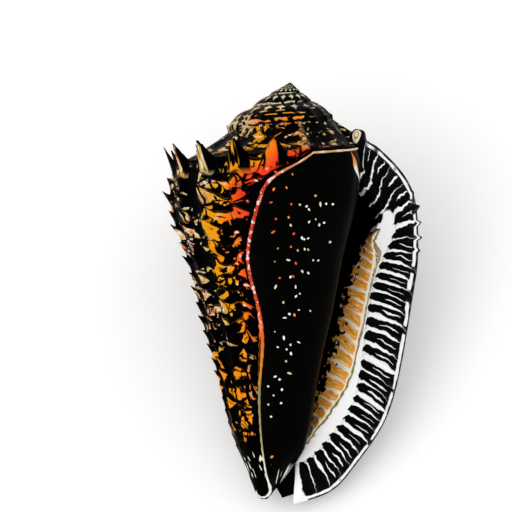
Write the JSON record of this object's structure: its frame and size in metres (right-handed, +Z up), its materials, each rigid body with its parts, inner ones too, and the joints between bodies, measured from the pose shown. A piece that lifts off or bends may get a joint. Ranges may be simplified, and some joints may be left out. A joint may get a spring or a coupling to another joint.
{
  "type": "cone-shaped sea snail shell",
  "caption": "Cone-shaped sea snail shell with a low spire, spiny ribs, a smooth shield beside its narrow mouth and a broad ridged outer lip, lying mouth up.",
  "frame": {"origin": "on the table under the middle of the shell's bounding box", "axes": "+Z up from the table, out of the mouth; +Y along the shell towards the spire's tip; +X towards the outer lip"},
  "size_m": [0.03, 0.0462, 0.0306],
  "materials": {
    "shell": "semi-gloss"
  },
  "bodies": {
    "root": {"shell": "shell"}
  },
  "joints": []
}
